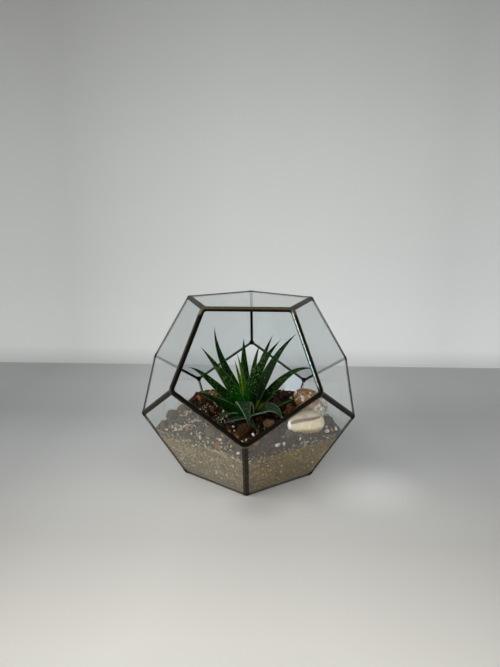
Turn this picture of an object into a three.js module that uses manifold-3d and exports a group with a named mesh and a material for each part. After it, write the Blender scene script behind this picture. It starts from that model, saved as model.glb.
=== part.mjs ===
// Glass plant terrarium. The case is a regular dodecahedron of glass panes in metal strips, with
// its front upper face left open inside a rounded rim. Sand, potting mix, a spotted succulent and
// two cowrie shells lie inside. Millimetres, +Z up, front towards -Y, origin under the case's middle.
import * as THREE from "three";
import { ConvexGeometry } from "three/addons/geometries/ConvexGeometry.js";
import { mergeVertices } from "three/addons/utils/BufferGeometryUtils.js";
import Module from "manifold-3d";

// ---- Driving dimensions ----

const EDGE = 80; // every edge of the case
const GAP = 0.3; // between pieces that touch

const GLASS = 1.6; // thickness of a pane
const PLAY = 0.2; // between a pane and the metal around it
const PANE_INSET = 1.9; // from a face's edge to its pane's edge

const STRIP = 0.3; // sheet thickness of a seam strip
const OUTER_WING = 2.3; // how far a seam reaches over a pane outside
const RIM_SEAM_WING = 3.2; // the same for the five seams that meet the open rim
const INNER_WING = 2.6; // how far any seam reaches over a pane inside
const RIDGE = 0.7; // where the outer ridge of a seam is blunted
const MITRE_PLAY = 0.185; // cut off each seam's ends along the edge

const RIM_RADIUS = 2.3;
const RIM_DEPTH = 0.9; // of the rim's axis below the open face
const RIM_CORNER = 5; // bend radius of the rim at its corners
const RIM_SPREAD = 1.022; // it is a little wider than the face it goes round
const RIM_DROP = 0.7; // and sits a little low on it
const RIM_SIDES = 10;
const RIM_BEND_STEPS = 5;

const SAND_LEVEL = 45.5;
const MIX_LEVEL = 52; // where the potting mix meets the glass
const MIX_MOUND = 7; // how far it rises towards the plant
const MIX_BACK = 4; // and towards the back glass
const MOUND_RADIUS = 95;
const FILL_CELLS = 20; // across the sand's and the mix's surface

const PLANT = new THREE.Vector2(1, -12); // where the stem stands
const STEM_BOTTOM = 47;
const STEM_TOP = 68.7;
const ROOT_COUNT = 6;
const ROOT_LENGTH = 17;
const ROOT_SLOPE = THREE.MathUtils.degToRad(6); // down, away from the stem

const LEAF_STEPS = 11;
const LEAF_SIDES = 8;

// ---- The dodecahedron ----

const GOLDEN = (1 + Math.sqrt(5)) / 2;
const TURN = Math.PI / 5; // azimuth from one upright plane of corners to the next
const SMALL_RING = EDGE / (2 * Math.sin(TURN)); // radius of the base and the crown
const LARGE_RING = SMALL_RING * GOLDEN; // radius of the foot and shoulder corners
const HEIGHT = SMALL_RING + LARGE_RING;
const APOTHEM = EDGE / (2 * Math.tan(TURN)); // of one face
const HALF_DIHEDRAL = Math.atan(GOLDEN); // between a face and the plane through the axis
const MITRE = Math.tan(TURN); // along the edge for each millimetre into the face
const CENTRE = new THREE.Vector3(0, 0, HEIGHT / 2);

// Corners lie on four level rings. LOW names the azimuths of the base and foot corners,
// HIGH those of the shoulder and crown corners, half a step further round.
const LOW = ["front", "right", "rear_right", "rear_left", "left"];
const HIGH = ["front_right", "side_right", "rear", "side_left", "front_left"];

function ringCorner(radius, z, turns) {
  const azimuth = turns * TURN;
  return new THREE.Vector3(radius * Math.sin(azimuth), -radius * Math.cos(azimuth), z);
}

const base = LOW.map((_, k) => ringCorner(SMALL_RING, 0, 2 * k));
const foot = LOW.map((_, k) => ringCorner(LARGE_RING, SMALL_RING, 2 * k));
const shoulder = HIGH.map((_, k) => ringCorner(LARGE_RING, LARGE_RING, 2 * k + 1));
const crown = HIGH.map((_, k) => ringCorner(SMALL_RING, HEIGHT, 2 * k + 1));
const next = (k) => (k + 1) % 5;
const before = (k) => (k + 4) % 5;

function middleOf(corners) {
  const sum = corners.reduce((total, corner) => total.add(corner), new THREE.Vector3());
  return sum.divideScalar(corners.length);
}

// A frame on a face: origin depth below its middle, Y inwards, Z towards its first corner.
function faceFrame(corners, depth) {
  const middle = middleOf(corners);
  const inward = CENTRE.clone().sub(middle).normalize();
  const toCorner = corners[0].clone().sub(middle).normalize();
  const side = inward.clone().cross(toCorner);
  const frame = new THREE.Matrix4().makeBasis(side, inward, toCorner);
  return frame.setPosition(middle.addScaledVector(inward, depth));
}

// A frame on an edge: origin at its start, Y inwards to the middle of the case, Z along it.
function edgeFrame(start, end) {
  const along = end.clone().sub(start).normalize();
  const inward = CENTRE.clone().sub(middleOf([start, end])).normalize();
  const side = inward.clone().cross(along);
  return new THREE.Matrix4().makeBasis(side, inward, along).setPosition(start);
}

const openFace = [foot[0], shoulder[0], crown[0], crown[4], shoulder[4]];
const bottomFace = { name: "pane_bottom", corners: base };
const topFace = { name: "pane_top", corners: crown };
const lowerFaces = HIGH.map((name, k) => ({
  name: `pane_lower_${name}`,
  corners: [base[k], base[next(k)], foot[next(k)], shoulder[k], foot[k]],
}));
const upperFaces = LOW.map((name, k) => ({
  name: `pane_upper_${name}`,
  corners: [foot[k], shoulder[k], crown[k], crown[before(k)], shoulder[before(k)]],
})).slice(1);
const glazedFaces = [bottomFace, topFace, ...lowerFaces, ...upperFaces];

// ---- Materials ----

function material(color, roughness, metalness, extra = {}) {
  return new THREE.MeshStandardMaterial({ color, roughness, metalness, ...extra });
}

const glass = material(0xc9d2cb, 0.05, 0, { transparent: true, opacity: 0.3 });
const patina = material(0x6a6258, 0.55, 0.6);
const rimMetal = material(0x4a3d2c, 0.35, 0.8);
const sand = material(0x9c927a, 0.95, 0);
const mix = material(0x2b241d, 0.95, 0);
const leafGreen = material(0x3f5a3a, 0.45, 0);
const paleGreen = material(0x8d9a68, 0.55, 0);
const shellCream = material(0xd8c3a0, 0.2, 0);
const shellBrown = material(0x9a6a3c, 0.2, 0);

// ---- Solids ----

const wasm = await Module();
wasm.setup();

function solid(geometry) {
  const bare = geometry.clone();
  bare.deleteAttribute("normal");
  bare.deleteAttribute("uv");
  const merged = mergeVertices(bare, 1e-4);
  const vertProperties = Float32Array.from(merged.attributes.position.array);
  const triVerts = Uint32Array.from(merged.index.array);
  return new wasm.Manifold(new wasm.Mesh({ numProp: 3, vertProperties, triVerts }));
}

function geometryOf(body) {
  const { vertProperties, triVerts } = body.getMesh();
  const geometry = new THREE.BufferGeometry();
  geometry.setAttribute("position", new THREE.BufferAttribute(vertProperties, 3));
  geometry.setIndex(new THREE.BufferAttribute(triVerts, 1));
  geometry.computeVertexNormals();
  return geometry;
}

function largestPart(body) {
  return body.decompose().reduce((best, part) => (part.volume() > best.volume() ? part : best));
}

const terrarium = new THREE.Group();

function add(name, geometry, surface, frame = new THREE.Matrix4()) {
  const mesh = new THREE.Mesh(geometry, surface);
  mesh.name = name;
  mesh.applyMatrix4(frame);
  terrarium.add(mesh);
}

// ---- Glass panes ----

const PANE_DEPTH = STRIP + PLAY + GLASS / 2;

function paneGeometry(grow) {
  const radius = (APOTHEM - PANE_INSET + grow) / Math.cos(TURN);
  return new THREE.CylinderGeometry(radius, radius, GLASS + 2 * grow, 5);
}

for (const { name, corners } of glazedFaces) {
  add(name, paneGeometry(0), glass, faceFrame(corners, PANE_DEPTH));
}

// ---- Open rim ----

// The rim's axis: a pentagon with rounded corners in the XZ plane of the open face's frame.
// Each side is one straight run and then a bend.
class RimAxis extends THREE.Curve {
  getPoint(t, target = new THREE.Vector3()) {
    const reach = APOTHEM - RIM_DEPTH / Math.tan(HALF_DIHEDRAL);
    const bendCentre = (reach - RIM_CORNER) / Math.cos(TURN);
    const steps = RIM_BEND_STEPS + 1;
    const side = Math.min(Math.floor(t * 5 + 1e-9), 4);
    const share = (t * 5 - side) * steps;
    const bend = Math.max(share - 1, 0) / RIM_BEND_STEPS;
    const angle = (2 * side + 1 + 2 * bend) * TURN;
    const normal = new THREE.Vector2(Math.sin(angle), Math.cos(angle));
    const corner = (2 * side + 2) * TURN;
    const middle = new THREE.Vector2(Math.sin(corner), Math.cos(corner)).multiplyScalar(bendCentre);
    const point = middle.clone().addScaledVector(normal, RIM_CORNER);
    if (share < 1) {
      const back = 2 * bendCentre * Math.sin(TURN) * (1 - share);
      point.add(new THREE.Vector2(-normal.y, normal.x).multiplyScalar(back));
    }
    return target.set(point.x, 0, point.y);
  }

  getPointAt(u, target) {
    return this.getPoint(u, target);
  }

  getTangentAt(u, target) {
    return this.getTangent(u, target);
  }
}

function rimGeometry(radius) {
  const steps = 5 * (RIM_BEND_STEPS + 1);
  const tube = new THREE.TubeGeometry(new RimAxis(), steps, radius, RIM_SIDES, true);
  const low = new THREE.Matrix4().makeTranslation(0, 0, RIM_DROP);
  const wide = new THREE.Matrix4().makeScale(RIM_SPREAD, 1, 1);
  return tube.applyMatrix4(faceFrame(openFace, RIM_DEPTH).multiply(low).multiply(wide));
}

let rim = solid(rimGeometry(RIM_RADIUS));
for (const { corners } of glazedFaces) {
  const frame = faceFrame(corners, PANE_DEPTH);
  rim = rim.subtract(solid(paneGeometry(PLAY).applyMatrix4(frame)));
}
add("opening_rim", geometryOf(largestPart(rim)), rimMetal);
const rimRoom = solid(rimGeometry(RIM_RADIUS + GAP));

// ---- Seam strips ----

const sinHalf = Math.sin(HALF_DIHEDRAL);
const cosHalf = Math.cos(HALF_DIHEDRAL);
const PANE_BACK = STRIP + 2 * PLAY + GLASS; // depth where the inner wings begin
const SEAM_DEPTH = PANE_BACK + STRIP;

// A point of the section from its distance into the face and its depth below it.
const sectionPoint = (into, depth) =>
  new THREE.Vector2(into * sinHalf - depth * cosHalf, into * cosHalf + depth * sinHalf);

function seamGeometry(outerWing) {
  const half = [
    sectionPoint(RIDGE, 0),
    sectionPoint(outerWing, 0),
    sectionPoint(outerWing, STRIP),
    sectionPoint(PANE_INSET - PLAY, STRIP),
    sectionPoint(PANE_INSET - PLAY, PANE_BACK),
    sectionPoint(INNER_WING, PANE_BACK),
    sectionPoint(INNER_WING, SEAM_DEPTH),
  ];
  const fold = new THREE.Vector2(0, SEAM_DEPTH / sinHalf);
  const mirrored = half.map(({ x, y }) => new THREE.Vector2(-x, y)).reverse();
  const outline = new THREE.Shape([...half, fold, ...mirrored]);
  const geometry = new THREE.ExtrudeGeometry(outline, { depth: EDGE, bevelEnabled: false });
  const position = geometry.attributes.position;
  for (let i = 0; i < position.count; i += 1) {
    const into = Math.abs(position.getX(i)) * sinHalf + position.getY(i) * cosHalf;
    const cut = into * MITRE + MITRE_PLAY;
    position.setZ(i, position.getZ(i) < EDGE / 2 ? cut : EDGE - cut);
  }
  return geometry;
}

const seams = [];
HIGH.forEach((high, k) => seams.push([`seam_base_${high}`, base[k], base[next(k)]]));
LOW.forEach((low, k) => seams.push([`seam_foot_${low}`, base[k], foot[k]]));
LOW.forEach((low, k) => {
  if (k > 0) {
    seams.push([`seam_waist_${low}_${HIGH[before(k)]}`, foot[k], shoulder[before(k)]]);
    seams.push([`seam_waist_${low}_${HIGH[k]}`, foot[k], shoulder[k]]);
    seams.push([`seam_crown_${low}`, crown[before(k)], crown[k]]);
  }
});
[1, 2, 3].forEach((k) => seams.push([`seam_shoulder_${HIGH[k]}`, shoulder[k], crown[k]]));

for (const [name, start, end] of seams) {
  const frame = edgeFrame(start, end);
  const meetsRim = openFace.includes(start) || openFace.includes(end);
  if (meetsRim) {
    const cut = solid(seamGeometry(RIM_SEAM_WING).applyMatrix4(frame)).subtract(rimRoom);
    add(name, geometryOf(largestPart(cut)), patina);
  } else {
    add(name, seamGeometry(OUTER_WING), patina, frame);
  }
}

// ---- Plant ----

// Azimuth 0 is the front, 90 the right. A leaf starts at height from, goes off at lift degrees
// above level, turns down by droop, sideways by swing and about itself by twist on its way.
// bend says how late it droops.
function leafShape(name, azimuth, length, lift, droop, swing, twist, from, width, bend = 2) {
  return { name, azimuth, length, lift, droop, swing, twist, from, width, bend };
}

// name, azimuth, length, lift, droop, swing, twist, from, width, bend
const LEAVES = [
  leafShape("inner_left", -117, 55, 82, 11, 20, -20, 69, 8),
  leafShape("inner_back", -140, 49, 64, -7, 10, -10, 68, 6),
  leafShape("inner_upright", 167, 65, 79, 25, -20, 10, 68, 7.5),
  leafShape("tall_centre", -158, 70, 64, -25, -15, 0, 68, 11),
  leafShape("tall_back_right", 156, 78, 66, 12, -25, 15, 68, 9),
  leafShape("tall_back_left", -122, 89, 54, -35, 30, -35, 68, 11),
  leafShape("tall_right", 112, 89, 70, 29, -20, 35, 66, 12.5),
  leafShape("tall_left", -52, 84, 58, 7, -30, 40, 66, 14.5),
  leafShape("tall_front_right", -1, 86, 74, 32, 120, -60, 66, 13.5),
  leafShape("arching_right", 109, 77, 49, 64, -30, 40, 64, 12, 4),
  leafShape("arching_left", -75, 74, 44, 44, -28, -40, 64, 12, 7),
  leafShape("short_right", 75, 56, 26, -8, -10, 20, 62, 6),
  leafShape("low_left", -45, 63, 36, 30, -34, 40, 60, 16, 6),
  leafShape("drooping_right", 52, 47, 39, 86, -20, 35, 62, 15),
  leafShape("drooping_front", -23, 62, 64, 149, 54, 0, 62, 18, 1.5),
  leafShape("flat_front_left", -51, 46, 25, 61, 30, 0, 62, 11),
  leafShape("flat_front", -15, 50, 16, 20, -25, 0, 61, 11),
  leafShape("thin_front", 4, 43, 0, 0, 20, 0, 61, 4),
];
const LEAF_START = 2.6; // from the stem's axis, for the innermost leaf
const LEAF_SPREAD = 0.35; // further out for each millimetre further down the stem
const LEAF_TWISTED = 0.4; // share of the length by which a leaf has all its twist
const LEAF_WIDEST = 0.25; // share of the length
const LEAF_NECK = 0.85; // width at the base, as a share of the widest
const LEAF_TIP = 0.06; // width at the tip, likewise
const LEAF_TAPER = 1.35; // over 1 keeps the leaf broad for longer
const LEAF_CROWN = 0.1; // swell of the upper face, as a share of the width
const LEAF_KEEL = 0.3; // swell of the lower face

function leafWidth(t) {
  if (t < LEAF_WIDEST) {
    return THREE.MathUtils.lerp(LEAF_NECK, 1, Math.sin((t / LEAF_WIDEST) * (Math.PI / 2)));
  }
  const out = (t - LEAF_WIDEST) / (1 - LEAF_WIDEST);
  return Math.max(1 - out ** LEAF_TAPER, LEAF_TIP);
}

// Middle line of a leaf: at each station its point and its directions across and up.
function leafStations(leaf) {
  const start = THREE.MathUtils.degToRad(leaf.azimuth);
  const reach = LEAF_START + LEAF_SPREAD * (LEAVES[0].from - leaf.from);
  const point = new THREE.Vector3(PLANT.x, PLANT.y, leaf.from);
  point.add(new THREE.Vector3(Math.sin(start), -Math.cos(start), 0).multiplyScalar(reach));
  const stations = [];
  for (let i = 0; i <= LEAF_STEPS; i += 1) {
    const t = i / LEAF_STEPS;
    const rise = THREE.MathUtils.degToRad(leaf.lift - leaf.droop * t ** leaf.bend);
    const heading = start + THREE.MathUtils.degToRad(leaf.swing) * t;
    const outward = new THREE.Vector3(Math.sin(heading), -Math.cos(heading), 0);
    const along = outward.clone().multiplyScalar(Math.cos(rise));
    along.z = Math.sin(rise);
    const across = new THREE.Vector3(Math.cos(heading), Math.sin(heading), 0);
    const up = outward.clone().multiplyScalar(-Math.sin(rise));
    up.z = Math.cos(rise);
    const twist = THREE.MathUtils.degToRad(leaf.twist) * Math.min(t / LEAF_TWISTED, 1);
    across.applyAxisAngle(along, twist);
    up.applyAxisAngle(along, twist);
    if (i > 0) {
      const step = along.clone().add(stations[i - 1].along).normalize();
      point.addScaledVector(step, leaf.length / LEAF_STEPS);
    }
    stations.push({ t, point: point.clone(), along, across, up });
  }
  return stations;
}

// A cylinder bent along the leaf's middle line and flattened to its section.
function leafGeometry(leaf, grow) {
  const geometry = new THREE.CylinderGeometry(1, 1, 1, LEAF_SIDES, LEAF_STEPS);
  const position = geometry.attributes.position;
  const stations = leafStations(leaf);
  for (let i = 0; i < position.count; i += 1) {
    const { t, point, along, across, up } = stations[Math.round((0.5 - position.getY(i)) * LEAF_STEPS)];
    const width = leaf.width * leafWidth(t);
    const swell = position.getZ(i) > 0 ? LEAF_CROWN : LEAF_KEEL;
    const moved = point.clone();
    moved.addScaledVector(across, position.getX(i) * (width / 2 + grow));
    moved.addScaledVector(up, position.getZ(i) * (width * swell + grow));
    if (t === 0 || t === 1) {
      moved.addScaledVector(along, (2 * t - 1) * grow);
    }
    position.setXYZ(i, moved.x, moved.y, moved.z);
  }
  return geometry;
}

// Radius and height of the stem's outline, from its foot in the mix to its blunt top.
const STEM_OUTLINE = [
  [2.4, 48.5],
  [4, 55],
  [4, 61],
  [3.2, 65],
  [1.6, STEM_TOP],
];

function stemGeometry(grow) {
  const outline = STEM_OUTLINE.map(([radius, z]) => new THREE.Vector2(radius + grow, z));
  outline.unshift(new THREE.Vector2(0, STEM_BOTTOM - grow));
  outline.push(new THREE.Vector2(0, STEM_TOP + 2 * grow + 0.1));
  const lathe = new THREE.LatheGeometry(outline, 10).rotateX(Math.PI / 2);
  return lathe.translate(PLANT.x, PLANT.y, 0);
}

function rootGeometry(index, grow) {
  const azimuth = ((index + 0.5) * 2 * Math.PI) / ROOT_COUNT;
  const root = new THREE.CylinderGeometry(0.5 + grow, 1 + grow, ROOT_LENGTH + 2 * grow, 6);
  root.translate(0, ROOT_LENGTH / 2, 0);
  root.rotateX(-ROOT_SLOPE).rotateZ(azimuth);
  return root.translate(PLANT.x, PLANT.y, STEM_BOTTOM + 5);
}

function stemSolid(grow) {
  let body = solid(stemGeometry(grow));
  for (let i = 0; i < ROOT_COUNT; i += 1) {
    body = body.add(solid(rootGeometry(i, grow)));
  }
  return body;
}

add("stem_and_roots", geometryOf(stemSolid(0)), paleGreen);
const stemRoom = stemSolid(GAP);

// The innermost leaf is whole. Each leaf further out is hollowed where it clasps those within.
let plantRoom = stemRoom;
for (const leaf of LEAVES) {
  const body = largestPart(solid(leafGeometry(leaf, 0)).subtract(plantRoom));
  add(`leaf_${leaf.name}`, geometryOf(body), leafGreen);
  plantRoom = plantRoom.add(solid(leafGeometry(leaf, GAP)));
}

// ---- Cowrie shells ----

// A cowrie lies on X with its base down: a domed back, a flattened base and a groove along it.
const SHELL_FLAT = 0.62; // depth of the base below the widest line, as a share of the dome
const SHELL_SLIT = 0.28; // depth of the groove, as a share of the base
const SHELL_SLIT_WIDTH = 0.16; // as a share of the shell's half width
const SHELL_FULLNESS = 0.12; // one end is fuller than the other by this share of the middle

function shellGeometry(length, width, height, grow) {
  const geometry = new THREE.SphereGeometry(1, 20, 14).rotateZ(Math.PI / 2);
  const position = geometry.attributes.position;
  const dome = height / (1 + SHELL_FLAT);
  for (let i = 0; i < position.count; i += 1) {
    const x = position.getX(i);
    const y = position.getY(i);
    const z = position.getZ(i);
    const full = 1 + SHELL_FULLNESS * x;
    const slit = SHELL_SLIT * Math.exp(-((y / SHELL_SLIT_WIDTH) ** 2)) * (1 - x ** 4);
    const swell = z < 0 ? SHELL_FLAT * (1 - slit) : 1;
    position.setX(i, x * (length / 2 + grow));
    position.setY(i, y * full * (width / 2 + grow));
    position.setZ(i, z * full * swell * (dome + grow));
  }
  return geometry;
}

// A shell's own frame: X along it, Z away from the side that its base faces.
function shellFrame({ middle, along, facing }) {
  const x = along.clone().normalize();
  const y = x.clone().cross(facing).normalize();
  const z = x.clone().cross(y);
  return new THREE.Matrix4().makeBasis(x, y, z).setPosition(middle);
}

const SHELLS = [
  {
    name: "cowrie_front",
    surface: shellCream,
    size: [36, 24, 19],
    middle: new THREE.Vector3(56, -40, 63.5),
    along: new THREE.Vector3(1, 0.05, 0.17),
    facing: new THREE.Vector3(-0.08, -1, 0.42),
  },
  {
    name: "cowrie_back",
    surface: shellBrown,
    size: [38, 27, 23],
    middle: new THREE.Vector3(62, -15.75, 75),
    along: new THREE.Vector3(32, -6, -24),
    facing: new THREE.Vector3(-0.3, 0.7, -0.65),
  },
];
const shellRooms = SHELLS.map((shell) => {
  const frame = shellFrame(shell);
  add(shell.name, shellGeometry(...shell.size, 0), shell.surface, frame);
  return solid(shellGeometry(...shell.size, GAP).applyMatrix4(frame));
});

// ---- Sand and potting mix ----

const FILL_DEPTH = STRIP + PLAY + GLASS + GAP;
const wingReach = INNER_WING * cosHalf + SEAM_DEPTH * sinHalf + GAP;
const FILL_INSET = (wingReach - FILL_DEPTH * sinHalf) / cosHalf;

// The room inside the case, chamfered along every edge to clear the seams.
function fillRoom() {
  const radius = (APOTHEM - FILL_INSET) / Math.cos(TURN);
  const points = [...glazedFaces.map(({ corners }) => corners), openFace].flatMap((corners) => {
    const frame = faceFrame(corners, FILL_DEPTH);
    return corners.map((_, k) => {
      const angle = 2 * k * TURN;
      return new THREE.Vector3(radius * Math.sin(angle), 0, radius * Math.cos(angle)).applyMatrix4(frame);
    });
  });
  return solid(new ConvexGeometry(points));
}

const heap = (x, y, middleX, middleY, height, spread) =>
  height * Math.exp(-((x - middleX) ** 2 + (y - middleY) ** 2) / spread ** 2);

function sandTop(x, y) {
  const frontHeap = heap(x, y, -24, -84, 7, 21);
  return SAND_LEVEL + frontHeap + 0.8 * Math.sin(x / 9) * Math.cos(y / 11);
}

function mixTop(x, y) {
  const mound = Math.max(0, 1 - (x * x + y * y) / MOUND_RADIUS ** 2);
  const back = THREE.MathUtils.smoothstep(y, 0, 80);
  const shellHeap = heap(x, y, 68, -10, 9, 16);
  const rough = 0.9 * Math.sin(x / 7 + 1) * Math.sin(y / 6);
  return MIX_LEVEL + MIX_MOUND * mound + MIX_BACK * back + shellHeap + rough;
}

// A block from the floor up to a height function.
function layer(top) {
  const span = 2 * LARGE_RING;
  const geometry = new THREE.BoxGeometry(span, span, 1, FILL_CELLS, FILL_CELLS, 1);
  const position = geometry.attributes.position;
  for (let i = 0; i < position.count; i += 1) {
    const height = position.getZ(i) > 0 ? top(position.getX(i), position.getY(i)) : 0;
    position.setZ(i, height);
  }
  return solid(geometry);
}

const room = fillRoom();
add("sand_layer", geometryOf(room.intersect(layer(sandTop))), sand);
const mixBed = room.intersect(layer(mixTop)).subtract(layer((x, y) => sandTop(x, y) + GAP));
const mixBody = [plantRoom, ...shellRooms].reduce((body, hollow) => body.subtract(hollow), mixBed);
add("potting_mix", geometryOf(largestPart(mixBody)), mix);

export default terrarium;
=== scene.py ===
"""Glass plant terrarium: the looks. Everything is worked out in millimetres in the frame of the
CAD part, +Z up and the front towards -Y, and scaled to metres when a piece is finished."""

import math
import random

import bmesh
import bpy
from mathutils import Matrix, Quaternion, Vector, noise
from mathutils.bvhtree import BVHTree


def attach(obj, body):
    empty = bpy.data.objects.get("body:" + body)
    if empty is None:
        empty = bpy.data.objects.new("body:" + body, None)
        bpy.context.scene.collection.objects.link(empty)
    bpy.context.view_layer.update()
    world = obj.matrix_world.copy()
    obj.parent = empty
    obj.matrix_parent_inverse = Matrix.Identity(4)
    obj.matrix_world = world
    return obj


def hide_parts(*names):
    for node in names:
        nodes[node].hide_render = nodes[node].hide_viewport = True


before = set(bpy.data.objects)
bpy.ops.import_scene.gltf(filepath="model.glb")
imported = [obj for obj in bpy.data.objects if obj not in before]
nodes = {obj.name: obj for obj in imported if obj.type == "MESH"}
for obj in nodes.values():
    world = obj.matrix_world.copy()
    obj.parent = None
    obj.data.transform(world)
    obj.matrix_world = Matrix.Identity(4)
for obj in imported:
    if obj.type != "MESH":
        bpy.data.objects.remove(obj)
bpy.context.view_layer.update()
MM = 0.001


def put(name, data):
    """A new object in the scene."""
    made = bpy.data.objects.new(name, data)
    bpy.context.scene.collection.objects.link(made)
    return made


# ---- Camera ----

def look_from(aim, azimuth, elevation, distance, roll, lens):
    """A camera that looks at aim. Azimuth 0 is the front and grows towards the right."""
    turn, rise = math.radians(azimuth), math.radians(elevation)
    back = Vector((math.sin(turn) * math.cos(rise), -math.cos(turn) * math.cos(rise), math.sin(rise)))
    camera = put("camera", bpy.data.cameras.new("camera"))
    camera.data.lens = lens
    camera.data.clip_start, camera.data.clip_end = 0.01, 20
    camera.rotation_mode = "QUATERNION"
    camera.location = (Vector(aim) + distance * back) * MM
    level = (-back).to_track_quat("-Z", "Y")
    camera.rotation_quaternion = level @ Quaternion((0, 0, 1), math.radians(roll))
    bpy.context.scene.camera = camera


look_from(aim=(0.748, 0.021, 142.881), azimuth=1.619, elevation=11.746, distance=547.4, roll=0.289,
          lens=29.145)


# ---- Building materials ----

def linear(value):
    value /= 255
    return value / 12.92 if value <= 0.04045 else ((value + 0.055) / 1.055) ** 2.4


def tone(red, green, blue):
    """A colour from its everyday 0 to 255 values."""
    return (linear(red), linear(green), linear(blue), 1)


class Finish:
    """A node material, built up step by step. Sizes are in millimetres on the object."""

    def __init__(self, name, kind=bpy.data.materials, output="OutputMaterial"):
        self.owner = kind.new(name)
        self.owner.use_nodes = True
        self.tree = self.owner.node_tree
        self.tree.nodes.clear()
        self.output = self.node(output)
        self.colour = None

    def node(self, kind, inputs=None, **settings):
        made = self.tree.nodes.new("ShaderNode" + kind)
        for key, value in settings.items():
            setattr(made, key, value)
        for key, value in (inputs or {}).items():
            if isinstance(value, bpy.types.NodeSocket):
                self.tree.links.new(value, made.inputs[key])
            else:
                made.inputs[key].default_value = value
        return made

    def coords(self):
        return self.node("TexCoord").outputs["Object"]

    def place(self, size, stretch=(1, 1, 1)):
        """Object coordinates, scaled so that a pattern's unit is size, longer by stretch."""
        scale = [1 / (MM * size * s) for s in stretch]
        return self.node("Mapping", {"Vector": self.coords(), "Scale": scale}).outputs[0]

    def place_xyz(self):
        """Object coordinates in millimetres, as separate x, y and z."""
        return self.node("SeparateXYZ", {0: self.place(1)}).outputs

    def reading(self, name):
        """What piece() was told of each vertex under this name."""
        return self.node("Attribute", attribute_name=name).outputs["Fac"]

    def noise(self, size, detail=3, roughness=0.6, stretch=(1, 1, 1), distortion=0):
        inputs = {"Vector": self.place(size, stretch), "Scale": 1, "Detail": detail,
                  "Roughness": roughness, "Distortion": distortion}
        return self.node("TexNoise", inputs).outputs[0]

    def cells(self, size, output="Distance"):
        return self.node("TexVoronoi", {"Vector": self.place(size), "Scale": 1}).outputs[output]

    def ramp(self, factor, *stops):
        """Blends stops, each of them (place, brightness) or (place, red, green, blue)."""
        made = self.node("ValToRGB", {"Fac": factor})
        elements = made.color_ramp.elements
        while len(elements) < len(stops):
            elements.new(0.5)
        for element, (position, *colour) in zip(elements, stops):
            element.position = position
            element.color = tone(*colour) if len(colour) == 3 else (*colour * 3, 1)
        return made.outputs[0]

    def graph(self, value, table):
        """Brightness along a value, from a table of (place, brightness)."""
        low, high = table[0][0], table[-1][0]
        share = self.node("MapRange", {"Value": value, "From Min": low, "From Max": high}).outputs[0]
        return self.ramp(share, *[((place - low) / (high - low), bright) for place, bright in table])

    def step(self, value, low, high, most=1):
        """0 below low, most above high and smooth between."""
        inputs = {"Value": value, "From Min": low, "From Max": high, "To Max": most}
        return self.node("MapRange", inputs, interpolation_type="SMOOTHSTEP").outputs[0]

    def math(self, operation, *values, clamp=False):
        return self.node("Math", dict(enumerate(values)), operation=operation, use_clamp=clamp).outputs[0]

    def times(self, *values, clamp=False):
        return self.math("MULTIPLY", *values, clamp=clamp)

    def vector_math(self, operation, first, second, output="Value"):
        return self.node("VectorMath", {0: first, 1: second}, operation=operation).outputs[output]

    def mix(self, factor, first, second, **settings):
        return self.node("Mix", {0: factor, 6: first, 7: second}, data_type="RGBA", **settings).outputs[2]

    def over(self, share, *colour):
        """Lays a colour over the finish so far: red, green and blue, or a socket."""
        self.colour = self.mix(share, self.colour, tone(*colour) if len(colour) == 3 else colour[0])

    def shaded(self, colour, by):
        """One colour multiplied by another, and kept within 0 to 1."""
        return self.mix(1.0, colour, by, blend_type="MULTIPLY", clamp_result=True)

    def surface(self, shader):
        self.tree.links.new(shader.outputs[0], self.output.inputs["Surface"])
        return self.owner

    def solid(self, roughness, height, depth, strength, **more):
        """An opaque finish whose bumps follow height, depth millimetres high."""
        bump = self.node("Bump", {"Height": height, "Distance": depth * MM, "Strength": strength})
        inputs = {"Base Color": self.colour, "Roughness": roughness, "Normal": bump.outputs[0]}
        inputs.update({key.replace("_", " "): value for key, value in more.items()})
        return self.surface(self.node("BsdfPrincipled", inputs))


# ---- Finishes ----

SAND_LEVEL = 45.5
OLIVE_SPOT = (0.0107, -0.015, 0.072)  # the base of a leaf that turns yellow, in metres


def pane_glass(name, tint):
    """Clear glass, faintly green, that lets the lamps through to what is behind it."""
    f = Finish(name)
    path = f.node("LightPath").outputs
    lamp = f.math("MAXIMUM", path["Is Shadow Ray"], path["Is Diffuse Ray"])
    glass = f.node("BsdfGlass", {"Color": (*tint, 1), "Roughness": 0, "IOR": 1.45})
    open_way = f.node("BsdfTransparent", {"Color": (0.94, 0.95, 0.94, 1)})
    return f.surface(f.node("MixShader", {0: lamp, 1: glass.outputs[0], 2: open_way.outputs[0]}))


def depth_below_faces(f):
    """How many millimetres a point lies below the nearest face of the case."""
    spot = f.vector_math("SUBTRACT", f.coords(), (0, 0, CASE_HEIGHT / 2 * MM), "Vector")
    reach = 0
    for face in (base, *lower_faces):
        along = f.vector_math("DOT_PRODUCT", spot, outward(face))
        reach = f.math("MAXIMUM", reach, f.math("ABSOLUTE", along))
    return f.math("MULTIPLY_ADD", reach, -1 / MM, CASE_HEIGHT / 2)


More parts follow.
